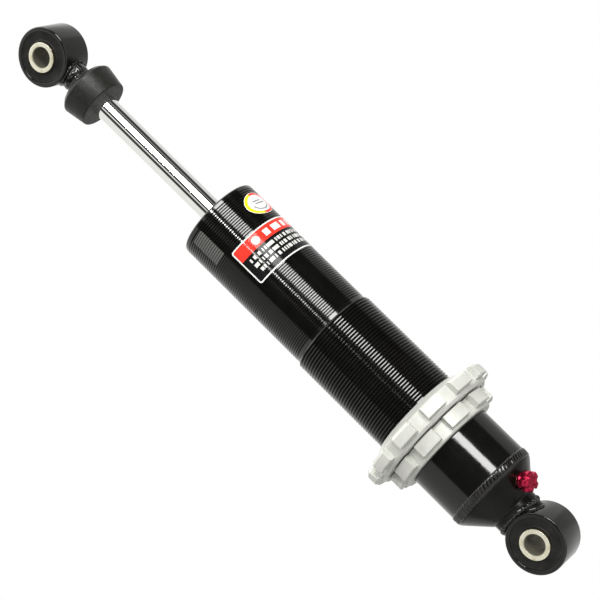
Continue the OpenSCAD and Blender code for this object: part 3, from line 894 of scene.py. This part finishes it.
def round_sticker():
    rings, n, across = 16, 96, 2 * STICKER_R
    verts, uvs = [], []
    for layer in (LABEL_THICK, 0.0):
        verts.append((FINE_R + layer, 0, STICKER_Z))
        uvs.append((0.5, 0.5))
        for i in range(1, rings + 1):
            for j in range(n):
                a, r = TAU * j / n, STICKER_R * i / rings
                x, y = STICKER_WIDE * r * math.cos(a), r * math.sin(a)
                z = STICKER_Z + y
                out = FINE_R + layer * 0.9 + (0.012 * math.cos(TAU * z / FINE_PITCH) if layer else 0)
                verts.append(polar(out, x / FINE_R, z))
                uvs.append((x / STICKER_WIDE / across + 0.5, y / across + 0.5))
    size = 1 + rings * n
    faces = []
    for base, flip in ((0, False), (size, True)):
        for j in range(n):
            k = (j + 1) % n
            tri = (base, base + 1 + j, base + 1 + k)
            faces.append(tri[::-1] if flip else tri)
            for i in range(rings - 1):
                a, b = base + 1 + i * n, base + 1 + (i + 1) * n
                quad = (a + j, b + j, b + k, a + k)
                faces.append(quad[::-1] if flip else quad)
    edge = 1 + (rings - 1) * n
    for j in range(n):
        k = (j + 1) % n
        faces.append((edge + k, edge + j, size + edge + j, size + edge + k))
    turn = Matrix.Rotation(math.radians(1.0), 3, "Z")
    verts = [tuple(turn @ Vector(v)) for v in verts]
    m = Drawn("sticker_print", across, across)
    rim = m.blend(m.spread(m.x, -2.2, -0.9), (0.9, 0.75, 0.01), (0.75, 0.03, 0.02))
    colour = m.blend(m.disc(6.6), (0.85, 0.85, 0.82), rim)
    colour = m.blend(m.disc(5.3), colour, (0.82, 0.82, 0.8))
    mark = m.math("SUBTRACT", m.disc(4.2), m.disc(3.4))
    mark = m.math("MULTIPLY", mark, m.spread(m.y, -1.0, -0.4, 1.0, 0.0))
    for x, y, half in ((-0.6, 1.6, 2.2), (0.4, 0.1, 2.8)):
        mark = m.math("MAXIMUM", mark, m.box(x, y, half, 0.42, 0.3))
    colour = m.blend(m.math("MULTIPLY", mark, 0.8), colour, (0.12, 0.12, 0.14))
    stuff = label_finish(m, colour, 0.2)
    label_piece("disc_label", verts, faces, uvs, "round_sticker", stuff)


main_label()
code_patch()
round_sticker()


# ---------------------------------------------------------------- CAD nodes that show as they are

FINISH = {
    "seal_head": ANODISED_BLACK, "seal_head_oring": SEAL_RUBBER, "rod_bush": BRONZE, "rod_seal": SEAL_RUBBER,
    "rod_wiper": SEAL_RUBBER, "retaining_ring": STEEL, "floating_piston": BARE_ALU,
    "floating_piston_oring": SEAL_RUBBER, "floating_piston_band": BAND, "collar_oring": SEAL_RUBBER,
    "lock_ring_oring": SEAL_RUBBER, "shaft": CHROME, "topout_bumper": SEAL_RUBBER, "topout_spacer": STEEL,
    "rebound_washer": STEEL, "rebound_shims": STEEL, "piston": BARE_ALU, "piston_band": BAND,
    "compression_shims": STEEL, "compression_washer": STEEL, "piston_nut": STEEL, "valve_pin": BRASS,
    "valve_cap_oring": SEAL_RUBBER,
}
for node_name, stuff in FINISH.items():
    data = frame["nodes"][node_name].data
    data.materials.clear()
    data.materials.append(stuff)


# ---------------------------------------------------------------- studio

CAMERA_BEARING = -59.0  # degrees round Z
KEY_BRIGHT, ROOM_BRIGHT = 16.0, 0.05


def world():
    """White backdrop for the camera; for the object, a dark room with pale cards and a long soft light."""
    w = bpy.data.worlds.new("studio")
    bpy.context.scene.world = w
    w.use_nodes = True
    w.node_tree.nodes.clear()
    t = Tree(w.node_tree)

    def window(value, low, high, soft):
        """1 where the value is between low and high, with soft edges."""
        out = []
        for edge, sign in ((low, 1), (high, -1)):
            r = t.new("ShaderNodeMapRange", interpolation_type="SMOOTHSTEP")
            a, b = edge - soft * sign, edge + soft * sign
            r.inputs["From Min"].default_value, r.inputs["From Max"].default_value = min(a, b), max(a, b)
            r.inputs["To Min"].default_value = 0.0 if sign > 0 else 1.0
            r.inputs["To Max"].default_value = 1.0 if sign > 0 else 0.0
            t.link(value, r.inputs["Value"])
            out.append(r.outputs["Result"])
        return t.math("MULTIPLY", *out)

    coord = t.new("ShaderNodeTexCoord")
    part = t.new("ShaderNodeSeparateXYZ")
    t.link(coord.outputs["Generated"], part.inputs[0])
    x, y, z = part.outputs
    # bearing: degrees round Z from the camera's side, positive clockwise as seen from above
    turned = t.math("ARCTAN2", y, x)
    deg = t.math("MULTIPLY", turned, 180 / math.pi)
    bearing = t.math("SUBTRACT", CAMERA_BEARING, deg)
    wrapped = t.math("WRAP", bearing, 180.0, -180.0)
    lift = t.math("MULTIPLY", t.math("ARCSINE", z), 180 / math.pi)
    raised = t.math("SUBTRACT", lift, 4.5)
    slanted = t.math("SUBTRACT", wrapped, t.math("MULTIPLY", t.math("MINIMUM", raised, 13.0), 0.9))
    key = t.math("MULTIPLY", window(wrapped, -38.5, 60, 1.5), window(slanted, -180, -21.5, 1.5))
    key = t.math("MULTIPLY", key, window(lift, -2, 24, 3.0))
    total = t.math("MULTIPLY", key, KEY_BRIGHT)
    # bearing from, to, lift from, to, softness, brightness
    cards = [
        (-1, 1.8, 11.8, 26, 0.6, 20.0),
        (-0.8, 1.6, 13.3, 26, 0.5, 45.0),
        (-9, 8, 17, 40, 2.0, 0.5),
        (23, 33, 16, 40, 2.0, 0.9),
        (16, 23, 11, 16, 2.0, 0.5),
        (-66, -55, 14, 40, 4.0, 0.22),
        (57, 200, -38, 55, 3.0, 0.58),
        (57, 200, 9, 55, 4.0, 0.3),
        (-200, -94, -38, 55, 5.0, 0.45),
        (-200, -94, 9, 55, 4.0, 0.3),
        (140, 200, -50, 60, 12.0, 0.25),
        (-200, -140, -50, 60, 12.0, 0.25),
        (-200, 200, -91, -48, 6.0, 0.04),
        (24, 200, -91, -48, 3.0, 0.2),
        (-100, 62, 36, 66, 8.0, 0.85),
        (-93, 58, -60, -6, 6.0, 0.9),
        (-200, 200, 50, 92, 10.0, 2.2),
    ]
    for a, b, c, d, soft, bright in cards:
        both = t.math("MULTIPLY", window(wrapped, a, b, soft), window(lift, c, d, soft))
        total = t.math("ADD", total, t.math("MULTIPLY", both, bright))
    total = t.math("ADD", total, ROOM_BRIGHT)
    room = t.new("ShaderNodeBackground")
    room.inputs["Color"].default_value = (1.0, 0.995, 0.98, 1)
    t.link(total, room.inputs["Strength"])
    plain = t.new("ShaderNodeBackground")
    plain.inputs["Color"].default_value = (1, 1, 1, 1)
    plain.inputs["Strength"].default_value = 1.0
    path = t.new("ShaderNodeLightPath")
    pick = t.new("ShaderNodeMixShader")
    out = t.new("ShaderNodeOutputWorld")
    t.link(path.outputs["Is Camera Ray"], pick.inputs[0])
    t.link(room.outputs[0], pick.inputs[1])
    t.link(plain.outputs[0], pick.inputs[2])
    t.link(pick.outputs[0], out.inputs[0])


world()


def floor():
    """A pale round floor under the shock that fades out at its edge."""
    n, radius, z = 96, 0.14, -0.036
    verts = [(0, 0, z)] + circle(radius, z, n)
    mesh = bpy.data.meshes.new("floor")
    mesh.from_pydata(verts, [], [(0, 1 + j, 1 + (j + 1) % n) for j in range(n)])
    ob = shown("floor", mesh)
    m = Nodes("floor")
    far = m.new("ShaderNodeVectorMath", operation="LENGTH")
    m.link(m.coord.outputs["Object"], far.inputs[0])
    alpha = m.spread(far.outputs["Value"], 0.05, 0.13, 0.4, 0.0)
    colour = m.blend(m.spread(m.noise(30, 4), 0.3, 0.7), (0.86, 0.86, 0.85), (0.9, 0.9, 0.89))
    mesh.materials.append(m.done(Base_Color=colour, Roughness=0.9, Alpha=alpha))


floor()


# the camera's place in metres, and the ways that its back and its top point
CAMERA_AT = (0.4382, -0.7303, -0.0262)
CAMERA_BACK, CAMERA_UP = (0.5030, -0.8370, -0.2156), (0.6885, 0.2371, 0.6854)


def camera():
    """A long lens, rolled so that the shock lies across the view."""
    data = bpy.data.cameras.new("camera")
    cam = shown("camera", data)
    data.lens, data.sensor_width = 108.0, 36.0
    data.clip_start, data.clip_end = 0.05, 20
    back = Vector(CAMERA_BACK).normalized()
    right = Vector(CAMERA_UP).cross(back).normalized()
    up = back.cross(right)
    turn = Matrix((right, up, back)).transposed().to_4x4()
    cam.matrix_world = Matrix.Translation(CAMERA_AT) @ turn
    bpy.context.scene.camera = cam


camera()
bpy.context.scene.view_settings.view_transform = "Standard"
